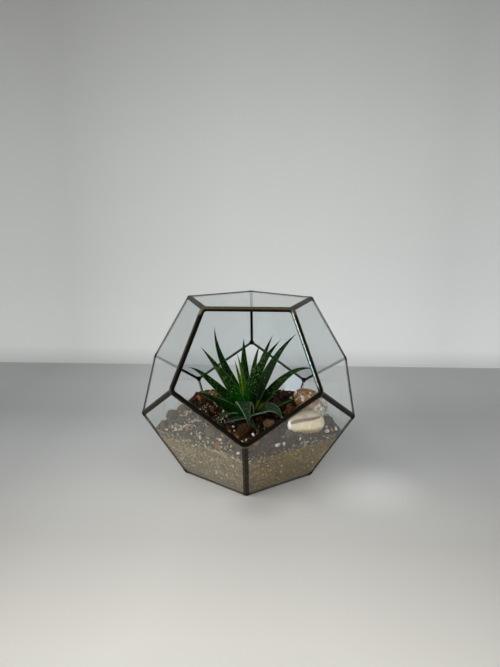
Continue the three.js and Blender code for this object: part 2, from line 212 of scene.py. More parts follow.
def patina_metal():
    """Grey-brown outside, with painted shade on the right side and a painted greyer reflection towards
    the top, nearly black in the channels by painted shade, and dusty where sand has filled them.
    """
    f = Finish("patina_and_painted_shade")
    deep = f.step(depth_below_faces(f), 0.6, 1.2)
    cloud = f.noise(9, 5)
    x, _, height = f.place_xyz()
    f.colour = f.ramp(cloud, (0.25, 29, 24, 9), (0.5, 41, 35, 15), (0.75, 57, 50, 26))
    # painted shade: the seams on the right side, away from the lamps, darkened
    f.over(f.step(x, 50, 75), f.shaded(f.colour, (0.45, 0.45, 0.45, 1)))
    # painted reflection: the seams greyer towards the top
    f.over(f.step(height, 122, 160, 0.8), 60, 58, 52)
    f.over(f.step(f.noise(0.9), 0.55, 0.8, 0.35), 34, 29, 23)
    # painted shade: the channels below the faces nearly black
    f.over(deep, f.ramp(cloud, (0.3, 14, 13, 12), (0.7, 28, 26, 23)))
    dust = f.times(deep, f.step(height, SAND_LEVEL + 1.5, SAND_LEVEL - 1.5))
    f.over(dust, sand_colour(f))
    patches = f.ramp(f.noise(3, 4), (0.3, 0.38), (0.7, 0.56))
    return f.solid(f.math("MAXIMUM", patches, f.times(deep, 0.85)), f.noise(1.6, 4, 0.55), 0.12, 0.5,
                   Metallic=f.math("MULTIPLY_ADD", dust, -0.8, 0.8))


def rim_metal():
    """Near-black bronze, with gold along its outer side that is partly worn brass and partly painted
    highlight, a painted highlight along the middle of the top run, and tarnish colours with a painted
    sheen on one run.
    """
    f = Finish("rim_bead_metal")
    outer = f.reading("outer")
    x, _, height = f.place_xyz()
    f.colour = f.ramp(f.noise(14, 4), (0.3, 9, 7, 4), (0.5, 15, 12, 7), (0.7, 25, 20, 11))
    patches = f.ramp(f.noise(9, 4), (0.35, 0.2), (0.6, 1))
    # gold along the outer side: worn brass and a painted highlight
    f.over(f.times(f.step(outer, 0.4, 0.75), patches), 112, 99, 66)
    # painted highlight: gold along the middle of the top run
    top_run = f.times(f.step(height, 171, 174), f.step(outer, 0.7, 0.5))
    f.over(f.times(top_run, f.step(outer, -0.5, -0.1, 0.85)), 104, 95, 70)
    f.over(f.step(f.noise(1.1), 0.52, 0.75), 24, 19, 13)
    # painted sheen: tarnish colours with bright glints in one band of the right run
    right_run = f.times(f.step(x, 38, 42), f.step(height, 112, 118))
    band = f.times(f.step(outer, -0.2, -0.4), f.step(outer, -0.85, -0.65))
    sheen = f.ramp(f.noise(1.6), (0.3, 60, 50, 84), (0.4, 74, 132, 160), (0.48, 168, 196, 192),
                   (0.54, 90, 150, 148), (0.6, 176, 132, 78), (0.68, 34, 27, 22))
    f.over(f.times(right_run, band), sheen)
    roughness = f.ramp(f.noise(4), (0.3, 0.3), (0.7, 0.46))
    return f.solid(roughness, f.noise(2.4, 4, 0.5), 0.25, 0.5, Metallic=0.85)


def sand_colour(f):
    """Olive sand of mixed grains, paler on the left partly by painted light, golden on the right, and
    darker low down by painted shade.
    """
    speck = f.ramp(f.cells(1.15, "Color"), (0, 44, 38, 26), (0.3, 79, 70, 50), (0.6, 110, 100, 74),
                   (0.85, 156, 145, 112), (1, 232, 224, 196))
    fine = f.ramp(f.cells(0.8, "Color"), (0, 0.4), (1, 1.5))
    layers = f.noise(17, 5, stretch=(2.4, 2.4, 0.8), distortion=0.6)
    shade = f.ramp(layers, (0.3, 186, 174, 144), (0.5, 224, 218, 204), (0.7, 255, 250, 238))
    x, _, height = f.place_xyz()
    side = f.step(x, -20, 30)
    colour = f.shaded(f.shaded(speck, fine), shade)
    # paler on the left: partly painted light from the left; golden on the right: the sand's own colour
    colour = f.shaded(colour, f.mix(side, (1.6, 1.52, 1.38, 1), (1.5, 1.18, 0.3, 1)))
    gold = f.times(side, f.step(f.noise(5, 4, stretch=(2.2, 2.2, 0.7)), 0.54, 0.66, 0.3))
    colour = f.mix(gold, colour, tone(172, 140, 56))
    dark = f.step(f.noise(3.2, 4, 0.65, stretch=(1.8, 1.8, 0.8)), 0.54, 0.68, 0.5)
    colour = f.mix(dark, colour, tone(50, 43, 29))
    # painted shade: darker low down, and painted light a little brighter at the top
    return f.shaded(colour, f.graph(height, ((0, 0.72), (22, 0.95), (46, 1.1))))


def sand_grains():
    f = Finish("olive_sand")
    f.colour = sand_colour(f)
    height = f.math("ADD", f.cells(0.9), f.times(f.noise(2.5, 4), 1.5))
    return f.solid(0.92, height, 0.5, 0.9, Specular_IOR_Level=0.2)


def dusted(f):
    """Lays sandy dust over what lies close behind the panes, thickest at the front left."""
    x, y, _ = f.place_xyz()
    out_squared = f.math("ADD", f.times(x, x), f.times(y, y))
    on_left = f.step(x, 10, -25)
    cover = f.times(f.step(out_squared, 2900, 4300), f.math("MULTIPLY_ADD", on_left, 0.34, 0.34))
    patchy = f.times(cover, f.ramp(f.noise(6, 4), (0.3, 0.55), (0.6, 1.2)), clamp=True)
    dust = f.ramp(f.cells(1.4, "Color"), (0, 46, 37, 20), (0.5, 80, 67, 38), (1, 130, 115, 76))
    f.over(patchy, f.mix(on_left, tone(82, 55, 18), dust))


def potting_mix():
    f = Finish("potting_mix")
    f.colour = f.ramp(f.cells(2.1, "Color"), (0, 8, 5, 4), (0.5, 22, 15, 10), (0.85, 50, 35, 25),
                      (1, 100, 82, 63))
    f.over(f.step(f.noise(4.5, 5), 0.45, 0.7), 24, 17, 12)
    dusted(f)
    height = f.math("ADD", f.cells(2.1), f.noise(3.6, 5, 0.65))
    return f.solid(0.95, height, 1, 0.9, Specular_IOR_Level=0.1)


def lump_finish(name, stops, size, depth, roughness=0.9, fleck=None, dusty=False):
    """A crumbly solid whose overall shade is its own reading, with pits and grain, and painted shade in
    the pits.
    """
    f = Finish(name)
    plain = f.ramp(f.reading("shade"), *stops)
    grain = f.noise(size, 5, 0.65)
    # painted shade: the low parts of the bump darkened, as in the pits
    f.colour = f.mix(f.step(grain, 0.35, 0.75), f.shaded(plain, (0.45, 0.42, 0.4, 1)), plain)
    if fleck:
        f.over(f.step(f.noise(size * 0.45), 0.62, 0.7, 0.8), *fleck)
    if dusty:
        dusted(f)
    height = f.math("ADD", grain, f.times(f.cells(size * 0.8), 0.6))
    return f.solid(roughness, height, depth, 0.8, Specular_IOR_Level=0.12)


def leaf_skin(name, deep, mid, fresh, margin, stripes, edging):
    """Leaf skin: fresh green at the base on the left, where painted light falls, near black at the base
    on the right by painted shade, deep green outwards, paler along its margins.
    """
    f = Finish(name)
    along, side = f.reading("along"), f.reading("side")
    cloud = f.noise(5, 4)
    f.colour = f.ramp(cloud, (0.3, *deep), (0.7, *mid))
    grown = f.step(f.math("ADD", along, f.times(f.noise(7, 3, 0.5), 0.2)), 0.6, 0.24)
    painted_light_side = f.step(f.place_xyz()[0], 8, -3)
    # the leaf's own fresh green base, shown only on the left where painted light falls
    f.over(f.times(grown, painted_light_side), *fresh)
    # painted shade: the bases on the right near black
    f.over(f.times(grown, f.math("MULTIPLY_ADD", painted_light_side, -0.8, 0.8)), 6, 18, 6)
    away = f.vector_math("DISTANCE", f.coords(), OLIVE_SPOT)
    f.over(f.step(away, 0.007, 0.003, 0.7), 96, 104, 22)
    across = f.node("CombineXYZ", {0: side}).outputs[0]
    lines = f.node("TexWave", {"Vector": across, "Scale": 2.2, "Distortion": 1.2, "Detail": 2},
                   wave_type="BANDS", bands_direction="X")
    f.over(f.step(lines.outputs[1], 0.5, 1, stripes), *fresh)
    rim = f.step(f.math("ABSOLUTE", side), edging, edging + 0.1)
    f.over(f.times(rim, f.ramp(f.noise(2.2), (0.35, 0.45), (0.6, 1))), *margin)
    f.over(f.step(along, 0.95, 1), 66, 52, 34)
    roughness = f.ramp(cloud, (0.3, 0.5), (0.7, 0.62))
    height = f.math("ADD", f.noise(0.8, 3, 0.5), f.times(f.noise(4, 3, 0.5), 2))
    return f.solid(roughness, height, 0.18, 0.5, Specular_IOR_Level=0.07)


def stud_finish(name, pale, green):
    f = Finish(name)
    f.colour = f.ramp(f.noise(1.4, 2, 0.5), (0.3, *green), (0.62, *pale))
    return f.solid(0.5, f.noise(0.2, 2, 0.5), 0.03, 0.3)


def stem_finish():
    f = Finish("pale_stem")
    fibres = f.noise(1.6, 4, stretch=(0.6, 0.6, 3))
    f.colour = f.ramp(fibres, (0.3, 58, 66, 30), (0.6, 104, 116, 58), (0.8, 132, 122, 86))
    return f.solid(0.6, fibres, 0.3, 0.6)


def cowrie_underside():
    """Cream below the slit, greyer above it, with a brown grainy lower edge and a white end with a
    painted highlight.
    """
    f = Finish("cream_cowrie")
    along, side = f.reading("along"), f.reading("side")
    cream = f.ramp(f.noise(6, 4, 0.5), (0.3, 196, 180, 142), (0.7, 224, 212, 182))
    upper = f.ramp(f.noise(5, 4, 0.5), (0.3, 146, 136, 116), (0.7, 186, 176, 154))
    f.colour = f.mix(f.step(side, 0.1, -0.05), cream, upper)
    f.over(f.step(side, -0.3, -0.75, 0.7), 104, 98, 86)
    frayed = f.math("ADD", side, f.times(f.noise(1.6, stretch=(0.5, 1, 2.2)), 0.7))
    f.over(f.step(frayed, 0.98, 1.26, 0.85), 128, 100, 62)
    back = f.ramp(f.noise(2.4), (0.35, 150, 120, 78), (0.7, 204, 180, 134))
    f.over(f.step(f.reading("dome"), -0.2, 0.05), back)
    f.over(f.step(f.reading("slit"), 0.3, 0.75), f.ramp(along, (0, 132, 98, 98), (0.9, 76, 58, 54)))
    # the white end: pale shell with a painted highlight
    f.over(f.step(along, -0.76, -0.88), 250, 246, 236)
    return f.solid(0.24, f.noise(3, 3, 0.5), 0.15, 0.35, Coat_Weight=0.35, Coat_Roughness=0.12)


def cowrie_back():
    """Tan with golden clouds, brown spots and cream clouds that are partly painted highlights, cream and
    lilac towards one end.
    """
    f = Finish("mottled_cowrie")
    f.colour = f.ramp(f.noise(7, 4), (0.3, 84, 60, 36), (0.5, 112, 86, 56), (0.7, 138, 112, 80))
    f.over(f.step(f.noise(6, distortion=0.8), 0.54, 0.64, 0.6), 146, 100, 36)
    # cream clouds: pale markings and painted highlights
    f.over(f.step(f.noise(7, 4, distortion=0.5), 0.6, 0.67), 232, 216, 178)
    f.over(f.step(f.cells(6.5), 0.26, 0.14, 0.8), 62, 40, 22)
    end = f.math("ADD", f.reading("along"), f.times(f.noise(5), 0.5))
    pale = f.ramp(f.noise(4, 4), (0.38, 104, 90, 80), (0.5, 188, 176, 164), (0.66, 240, 236, 232))
    f.over(f.step(end, 0.36, 0.6), pale)
    return f.solid(0.16, f.noise(3, 3, 0.5), 0.12, 0.3, Coat_Weight=0.6, Coat_Roughness=0.06)


# millimetres and painted brightness, light and shade, up and across the wall, and back and across the
# floor
WALL_UP = ((-100, 0.795), (-50, 0.974), (10, 0.927), (90, 0.833), (180, 0.756), (300, 0.679), (420, 0.61),
           (560, 0.515), (720, 0.418), (1200, 0.351))
WALL_ACROSS = ((-680, 0.68), (-530, 0.68), (-450, 0.677), (-300, 0.798), (-60, 0.949), (150, 1),
               (350, 0.99), (450, 0.95), (550, 1), (600, 1))
FLOOR_DEEP = ((-420, 1.044), (-260, 1.024), (-200, 0.922), (-140, 0.832), (-80, 0.841), (60, 0.826),
              (160, 0.733), (280, 0.817), (407, 0.808))
FLOOR_ACROSS = ((-360, 0.516), (-240, 0.656), (-150, 0.856), (-60, 1), (60, 0.991), (150, 0.886),
                (240, 0.736), (360, 0.704))
# middle and reach in metres, and how much brighter: light through the glass, and the shade below
FLOOR_POOLS = (((0.119, -0.043, 0), 0.07, 0.3), ((0.012, -0.08, 0), 0.04, -0.22))


def wall_paint_and_painted_light():
    """Matt paint with painted light and shade: dimmer low down, high up and at the sides."""
    f = Finish("wall_paint_and_painted_light")
    x, _, z = f.place_xyz()
    shade = f.shaded(f.graph(z, WALL_UP), f.graph(x, WALL_ACROSS))
    f.colour = f.shaded(tone(250, 253, 252), shade)
    return f.solid(0.9, f.noise(34, 5), 3, 0.25)


def floor_paint_and_painted_light():
    """Satin paint with painted light and shade: warm and pale in front, dimmer and cooler towards the
    back.
    """
    f = Finish("floor_paint_and_painted_light")
    x, y, _ = f.place_xyz()
    shade = f.shaded(f.graph(y, FLOOR_DEEP), f.graph(x, FLOOR_ACROSS))
    # painted warm light in front, cooler towards the back
    tint = f.ramp(f.step(y, -260, 260), (0, 224, 222, 216), (0.5, 220, 222, 222),
                  (1, 218, 221, 222))
    for spot, reach, gain in FLOOR_POOLS:
        away = f.vector_math("DISTANCE", f.coords(), spot)
        pool = f.math("MULTIPLY_ADD", f.step(away, reach, 0), gain, 1)
        shade = f.shaded(shade, pool)
    f.colour = f.shaded(tint, shade)
    return f.solid(0.5, f.noise(14, 3, 0.5), 0.4, 0.12, Specular_IOR_Level=0.3)


# ---- The case ----

EDGE = 80
TURN = math.pi / 5
GOLDEN = (1 + math.sqrt(5)) / 2
SMALL_RING = EDGE / (2 * math.sin(TURN))
LARGE_RING = SMALL_RING * GOLDEN
CASE_HEIGHT = SMALL_RING + LARGE_RING
APOTHEM = EDGE / (2 * math.tan(TURN))
HALF_DIHEDRAL = math.atan(GOLDEN)
CENTRE = Vector((0, 0, CASE_HEIGHT / 2))


def ring_corner(radius, z, turns):
    return Vector((radius * math.sin(turns * TURN), -radius * math.cos(turns * TURN), z))


base = [ring_corner(SMALL_RING, 0, 2 * k) for k in range(5)]
foot = [ring_corner(LARGE_RING, SMALL_RING, 2 * k) for k in range(5)]
shoulder = [ring_corner(LARGE_RING, LARGE_RING, 2 * k + 1) for k in range(5)]
crown = [ring_corner(SMALL_RING, CASE_HEIGHT, 2 * k + 1) for k in range(5)]
open_face = [foot[0], shoulder[0], crown[0], crown[4], shoulder[4]]
lower_faces = [[base[k], base[(k + 1) % 5], foot[(k + 1) % 5], shoulder[k], foot[k]] for k in range(5)]
upper_faces = [[foot[k], shoulder[k], crown[k], crown[k - 1], shoulder[k - 1]] for k in range(5)]
all_faces = [base, crown, *lower_faces, *upper_faces]


def middle_of(corners):
    return sum(corners, Vector()) / len(corners)


def outward(corners):
    return (middle_of(corners) - CENTRE).normalized()


def face_frame(corners, depth):
    """Origin depth below the face's middle, Y inwards, Z towards its first corner."""
    inward = -outward(corners)
    to_corner = (corners[0] - middle_of(corners)).normalized()
    side = inward.cross(to_corner)
    turn = Matrix((side, inward, to_corner)).transposed().to_4x4()
    return Matrix.Translation(middle_of(corners) + inward * depth) @ turn


# ---- Making pieces ----

def faces_out(bm):
    bmesh.ops.recalc_face_normals(bm, faces=bm.faces)


def trim(bm, point, way):
    """Cuts off what lies beyond a plane, and closes the cut."""
    bmesh.ops.bisect_plane(bm, geom=[*bm.verts, *bm.edges, *bm.faces], dist=1e-4, plane_co=point,
                           plane_no=way, clear_outer=True)
    bmesh.ops.holes_fill(bm, edges=[e for e in bm.edges if e.is_boundary])


def chamfer(bm, edges, width, segments=1):
    bmesh.ops.bevel(bm, geom=edges, offset=width, segments=segments, profile=0.5, affect="EDGES",
                    material=-1)


def to_mesh(bm, name="shape"):
    mesh = bpy.data.meshes.new(name)
    bm.to_mesh(mesh)
    bm.free()
    return mesh


def piece(name, bm, finishes, replaces=(), readings=None, smooth=True):
    """Turns a bmesh in millimetres into a finished piece. readings are values for each vertex."""
    bmesh.ops.scale(bm, vec=(MM, MM, MM), verts=bm.verts)
    mesh = to_mesh(bm, name)
    for finish in finishes:
        mesh.materials.append(finish)
    for key, values in (readings or {}).items():
        mesh.attributes.new(key, "FLOAT", "POINT").data.foreach_set("value", values)
    mesh.polygons.foreach_set("use_smooth", [smooth] * len(mesh.polygons))
    made = put(name, mesh)
    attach(made, "root")
    if replaces:
        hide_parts(*replaces)
    return made


def paint(prefix, finish):
    """Gives every CAD node whose name starts so a finish in place of its own."""
    for name, node in nodes.items():
        if name.startswith(prefix):
            node.data.materials.clear()
            node.data.materials.append(finish)


# ---- Glass and seams ----

paint("pane_", pane_glass("pane_glass", (0.984, 0.991, 0.988)))
# darker glass on the upper rear panes, dimming what is seen through them
paint("pane_upper_rear", pane_glass("darker_pane_glass", (0.875, 0.902, 0.91)))
patina = patina_metal()
paint("seam_", patina)
paint("sand_layer", sand_grains())
paint("potting_mix", potting_mix())
paint("stem_and_roots", stem_finish())

JOINT_REACH = 4.4
JOINT_STAND = 0.1  # above the faces
JOINT_ROUND = 0.75
JOINT_FACE = 4  # the least area of a face that a trim leaves


def solder_joint(corner, faces):
    """A ball of solder trimmed flush with the three faces that meet at a corner."""
    bm = bmesh.new()
    bmesh.ops.create_icosphere(bm, subdivisions=3, radius=JOINT_REACH, matrix=Matrix.Translation(corner))
    sides = [outward(face) for face in faces]
    for side in sides:
        trim(bm, corner + side * (0 if side.z < -0.99 else JOINT_STAND), side)
    faces_out(bm)
    trimmed = {f for f in bm.faces
               if f.calc_area() > JOINT_FACE and any(f.normal.dot(side) > 0.999 for side in sides)}
    ridges = [e for e in bm.edges if len(e.link_faces) == 2 and all(f in trimmed for f in e.link_faces)]
    chamfer(bm, ridges, JOINT_ROUND, 3)
    return to_mesh(bm)


def solder_joints():
    """A joint at each corner that isn't one of the open face's."""
    bm = bmesh.new()
    for corner in [*base, *foot, *shoulder, *crown]:
        if corner not in open_face:
            bm.from_mesh(solder_joint(corner, [face for face in all_faces if corner in face]))
    piece("solder_joints", bm, [patina])


solder_joints()

RIM_RADIUS = 2.3
RIM_DEPTH = 0.9  # of its axis below the open face
RIM_CORNER = 5  # bend radius
RIM_SPREAD = 1.022  # it is a little wider than the face
RIM_DROP = 0.7
RIM_SIDES = 24
RIM_BEND_CUTS = 9
RIM_RUN_CUTS = 24
RIM_WOBBLE = 0.09


def rim_bead():
    """The rounded bead round the open face, swept along five runs and five bends."""
    reach = APOTHEM - RIM_DEPTH / math.tan(HALF_DIHEDRAL)
    bend_middle = (reach - RIM_CORNER) / math.cos(TURN)
    run = 2 * bend_middle * math.sin(TURN) / RIM_RUN_CUTS
    bm = bmesh.new()
    start = Matrix.Translation((0, 0, bend_middle)) @ Matrix.Rotation(-TURN, 4, "Y")
    start = start @ Matrix.Translation((0, 0, RIM_CORNER)) @ Matrix.Rotation(math.pi / 2, 4, "Y")
    bmesh.ops.create_circle(bm, segments=RIM_SIDES, radius=RIM_RADIUS, matrix=start)
    ends = bm.edges[:]
    edge, vertex = bmesh.types.BMEdge, bmesh.types.BMVert
    for side in range(5):
        centre = Vector((math.sin(2 * side * TURN), 0, math.cos(2 * side * TURN))) * bend_middle
        made = bmesh.ops.spin(bm, geom=ends, cent=centre, axis=(0, 1, 0), angle=2 * TURN,
                              steps=RIM_BEND_CUTS)
        ends = [g for g in made["geom_last"] if isinstance(g, edge)]
        heading = (2 * side - 1) * TURN + 2 * TURN
        step = Vector((math.cos(heading), 0, -math.sin(heading))) * run
        for _ in range(RIM_RUN_CUTS):
            made = bmesh.ops.extrude_edge_only(bm, edges=ends)["geom"]
            ends = [g for g in made if isinstance(g, edge) and all(v in made for v in g.verts)]
            bmesh.ops.translate(bm, vec=step, verts=[g for g in made if isinstance(g, vertex)])
    bmesh.ops.remove_doubles(bm, verts=bm.verts, dist=0.01)
    faces_out(bm)
    seat = Matrix.Translation((0, 0, RIM_DROP)) @ Matrix.Diagonal((RIM_SPREAD, 1, 1, 1))
    bmesh.ops.transform(bm, matrix=face_frame(open_face, RIM_DEPTH) @ seat, verts=bm.verts)
    bm.normal_update()
    middle, facing = middle_of(open_face), outward(open_face)
    outer = []
    for vert in bm.verts:
        away = vert.co - middle
        outer.append(vert.normal.dot((away - facing * away.dot(facing)).normalized()))
        vert.co += vert.normal * RIM_WOBBLE * noise.noise(vert.co / 2.5)
    piece("rim_bead", bm, [rim_metal()], replaces=["opening_rim"], readings={"outer": outer})


rim_bead()


# ---- Plant ----

PLANT = Vector((1, -12, 0))
TOPMOST = 69  # where the highest leaf starts
LEAF_START = 2.6  # of that leaf from the plant's axis
LEAF_SPREAD = 0.35  # farther out for each millimetre lower
LEAF_TWISTED = 0.4  # where along a leaf its twist is complete
LEAF_WIDEST = 0.25
LEAF_NECK = 0.85
LEAF_TAPER = 1.5
LEAF_TIP = 0.03
LEAF_TIP_REACH = 1.2
LEAF_CROWN = 0.1
LEAF_KEEL = 0.3
LEAF_RINGS = 44
LEAF_SIDES = 20
STUD_PITCH = 1.5
STUD_FLAT = 0.8
STUD_EDGE = 0.93  # how near a margin the spots come
BARE_BASE = 0.16
SPOTS_BEGIN = 0.2
SPOTS_THICKEN = 3

# name, azimuth, length, lift, droop, swing, twist, start, width, bend (2 where left out)
SPOTTED_LEAVES = [
    ("tall_centre", -158, 70, 64, -25, -15, 0, 68, 11),
    ("tall_back_right", 156, 78, 66, 12, -25, 15, 68, 9),
    ("tall_back_left", -122, 89, 54, -35, 30, -35, 68, 11),
    ("inner_upright", 167, 65, 79, 25, -20, 10, 68, 7.5),
    ("tall_right", 112, 89, 70, 29, -20, 35, 66, 12.5),
    ("tall_left", -52, 84, 58, 7, -30, 40, 66, 14.5),
    ("tall_front_right", -1, 86, 74, 32, 120, -60, 66, 13.5),
    ("arching_right", 109, 77, 49, 64, -30, 40, 64, 12, 4),
    ("arching_left", -75, 74, 44, 44, -28, -40, 64, 12, 7),
    ("short_right", 75, 56, 26, -8, -10, 20, 62, 6),
    ("low_left", -45, 63, 36, 30, -34, 40, 60, 16, 6),
]
# share of the places that hold a spot, and how large the spots are
SPOTS = {
    "tall_front_right": (0.6, 0.42),
    "tall_left": (0.6, 0.42),
    "arching_right": (0.6, 0.42),
    "tall_right": (0.3, 0.34),
    "low_left": (0.14, 0.3),
}
STRIPED_LEAVES = [
    ("inner_left", -117, 55, 82, 11, 20, -20, 69, 8),
    ("inner_back", -140, 49, 64, -7, 10, -10, 68, 6),
]
GREY_LEAVES = [
    ("drooping_right", 52, 47, 39, 86, -20, 35, 62, 15),
    ("drooping_front", -23, 62, 64, 149, 54, 0, 62, 18, 1.5),
    ("flat_front_left", -51, 46, 25, 61, 30, 0, 62, 11),
    ("flat_front", -15, 50, 16, 20, -25, 0, 61, 11),
    ("thin_front", 4, 43, 0, 0, 20, 0, 61, 4),
]


def leaf_width(t):
    if t < LEAF_WIDEST:
        return LEAF_NECK + (1 - LEAF_NECK) * math.sin(t / LEAF_WIDEST * math.pi / 2)
    out = (t - LEAF_WIDEST) / (1 - LEAF_WIDEST)
    return max(1 - out ** LEAF_TAPER, LEAF_TIP)


class LeafShape:
    """The middle line of a leaf and its section, from base (t 0) to tip (t 1)."""

    def __init__(self, name, azimuth, length, lift, droop, swing, twist, start, width, bend=2):
        self.name, self.length, self.width = name, length + LEAF_TIP_REACH, width
        out = math.radians(azimuth)
        reach = LEAF_START + LEAF_SPREAD * (TOPMOST - start)
        point = PLANT + Vector((math.sin(out) * reach, -math.cos(out) * reach, start))
        self.stations = []
        for i in range(LEAF_RINGS + 1):
            t = i / LEAF_RINGS
            rise = math.radians(lift - droop * t ** bend)
            heading = out + math.radians(swing) * t
            ahead = Vector((math.sin(heading), -math.cos(heading), 0))
            along = ahead * math.cos(rise) + Vector((0, 0, math.sin(rise)))
            across = Vector((math.cos(heading), math.sin(heading), 0))
            up = ahead * -math.sin(rise) + Vector((0, 0, math.cos(rise)))
            turn = Quaternion(along, math.radians(twist) * min(t / LEAF_TWISTED, 1))
            if i:
                point = point + (along + self.stations[-1][1]).normalized() * (self.length / LEAF_RINGS)
            self.stations.append((point.copy(), along, turn @ across, turn @ up))

    def at(self, t):
        spot = min(max(t, 0), 1) * LEAF_RINGS
        i = min(int(spot), LEAF_RINGS - 1)
        return [a.lerp(b, spot - i) for a, b in zip(self.stations[i], self.stations[i + 1])]

    def surface(self, t, angle):
        """A point of the skin. Angle 0 is the right margin and a quarter turn the upper face."""
        point, _, across, up = self.at(t)
        width = self.width * leaf_width(t)
        side, rise = math.cos(angle), math.sin(angle)
        if rise > 0:
            high = LEAF_CROWN * width * (rise - 0.75 * rise ** 4)
        else:
            high = LEAF_KEEL * width * (0.55 * rise - 0.45 * (1 - abs(side) ** 1.2))
        return point + across * side * width / 2 + up * high

    def facing(self, t, angle):
        """The outward normal of the skin."""
        d = 0.01
        ahead = self.surface(min(t + d, 1), angle) - self.surface(t - d, angle)
        round_ = self.surface(t, angle + d) - self.surface(t, angle - d)
        return round_.cross(ahead).normalized()


def leaf_stud():
    """One raised dot of the leaf skin, a low blunt cone of radius 1 on the XY plane."""
    bm = bmesh.new()
    bmesh.ops.create_cone(bm, cap_ends=True, segments=5, radius1=1, radius2=0.45, depth=0.9)
    bmesh.ops.translate(bm, vec=(0, 0, 0.3), verts=bm.verts)
    bottom = [f for f in bm.faces if f.normal.z < -0.9]
    bmesh.ops.delete(bm, geom=bottom, context="FACES_ONLY")
    return to_mesh(bm)


class Pile:
    """Many small solids gathered into one bmesh, each with its own shade."""

    def __init__(self, bm=None):
        self.bm = bm or bmesh.new()
        self.shades = [0.0] * len(self.bm.verts)
        self.rest = {}

    def drop(self, shape, matrix, shade=0.0):
        if shape.name not in self.rest:
            flat = [0.0] * (3 * len(shape.vertices))
            shape.vertices.foreach_get("co", flat)
            self.rest[shape.name] = flat
        shape.transform(matrix)
        self.bm.from_mesh(shape)
        shape.vertices.foreach_set("co", self.rest[shape.name])
        self.shades += [shade] * len(shape.vertices)


def standing(point, normal, size, spin=0.0):
    """A matrix that stands a shape on a surface, scaled by size."""
    turn = normal.to_track_quat("Z", "Y").to_matrix().to_4x4()
    return Matrix.Translation(point) @ turn @ Matrix.Rotation(spin, 4, "Z") @ Matrix.Diagonal((*size, 1))


def leaf_piece(row, skin, studs, stud, slot, density, stud_size):
    """One leaf with its raised spots, and a row of small ones along each margin."""
    shape = LeafShape(*row)
    bm = bmesh.new()
    bmesh.ops.create_cone(bm, cap_ends=True, segments=LEAF_SIDES, radius1=1, radius2=1, depth=1)
    upright = [e for e in bm.edges if abs(e.verts[0].co.z - e.verts[1].co.z) > 0.5]
    bmesh.ops.subdivide_edges(bm, edges=upright, cuts=LEAF_RINGS - 1)
    places = [(v.co.z + 0.5, math.atan2(v.co.y, v.co.x)) for v in bm.verts]
    for vert, (t, angle) in zip(bm.verts, places):
        vert.co = shape.surface(t, angle)
    faces_out(bm)
    skin_faces = len(bm.faces)
    draw = random.Random(shape.name)
    pile = Pile(bm)

    def add_stud(t, angle, size):
        flat = (size, size, size * STUD_FLAT)
        pile.drop(stud, standing(shape.surface(t, angle), shape.facing(t, angle), flat))

    for row_index in range(int(shape.length / STUD_PITCH)):
        t = (row_index + 0.5) * STUD_PITCH / shape.length
        count = int(shape.width * leaf_width(t) / STUD_PITCH)
        if t < BARE_BASE or count < 1:
            continue
        for upper in (1, -1):
            for k in range(count):
                side = (k + 0.5 + 0.5 * (row_index % 2)) / count * 2 - 1 + draw.uniform(-0.12, 0.12)
                spotted = draw.random() <= density * min(1, (t - SPOTS_BEGIN) * SPOTS_THICKEN)
                if spotted and abs(side) <= STUD_EDGE:
                    spot = t + draw.uniform(-0.3, 0.3) * STUD_PITCH / shape.length
                    add_stud(spot, upper * math.acos(side), stud_size * draw.uniform(0.7, 1.3))
        for margin in (0.0, math.pi):
            add_stud(t, margin, draw.uniform(0.2, 0.38))
    rest = len(pile.shades) - len(places)
    readings = {
        "along": [t for t, _ in places] + [0.5] * rest,
        "side": [math.cos(a) for _, a in places] + [0.0] * rest,
    }
    made = piece("spotted_" + shape.name, bm, [skin, studs], replaces=["leaf_" + shape.name],
                 readings=readings)
    marks = [0] * skin_faces + [1] * (len(made.data.polygons) - skin_faces)
    made.data.polygons.foreach_set("material_index", marks)


def plant():
    stud = leaf_stud()
    pale = stud_finish("pale_studs", (124, 152, 80), (40, 80, 24))
    lime = stud_finish("lime_studs", (170, 188, 70), (88, 128, 32))
    dull = stud_finish("dull_studs", (96, 118, 88), (46, 70, 44))
    dark = leaf_skin("dark_leaf", (3, 18, 2), (6, 34, 4), (7, 62, 5), (66, 96, 48), 0.08, 0.93)
    striped = leaf_skin("striped_leaf", (14, 44, 8), (34, 76, 14), (82, 124, 20), (120, 146, 66), 0.5,
                        0.9)
    grey = leaf_skin("grey_leaf", (20, 32, 21), (38, 53, 38), (26, 64, 18), (128, 146, 116), 0.12, 0.86)
    for rows, skin, studs, slot, usual_spots in (
            (SPOTTED_LEAVES, dark, pale, "spotted_leaf", (0.45, 0.34)),
            (STRIPED_LEAVES, striped, lime, "spotted_leaf", (0.9, 0.34)),
            (GREY_LEAVES, grey, dull, "grey_green_leaf", (0.3, 0.34))):
        for row in rows:
            leaf_piece(row, skin, studs, stud, slot, *SPOTS.get(row[0], usual_spots))


plant()


# ---- Cowrie shells ----

# shares of the shell's own half length, half width and dome
SHELL_FLAT = 0.62
SHELL_SLIT = 0.34
SHELL_SLIT_WIDTH = 0.14
SHELL_SLIT_SIDE = -0.25
SHELL_SLIT_SLANT = 0.09
SHELL_FULLNESS = 0.12
SHELL_LIP = 0.05
SHELL_LIP_OUT = 0.2
SHELL_TOOTH = 0.045
SHELL_TEETH = 46
SHELL_KNOB = 0.05
SHELL_KNOB_OUT = 0.9


def shell_frame(middle, along, facing):
    x = Vector(along).normalized()
    y = x.cross(Vector(facing)).normalized()
    turn = Matrix((x, y, x.cross(y))).transposed().to_4x4()
    return Matrix.Translation(middle) @ turn


def hump(value, width):
    """1 at value 0, fading smoothly over width."""
    return math.exp(-((value / width) ** 2))


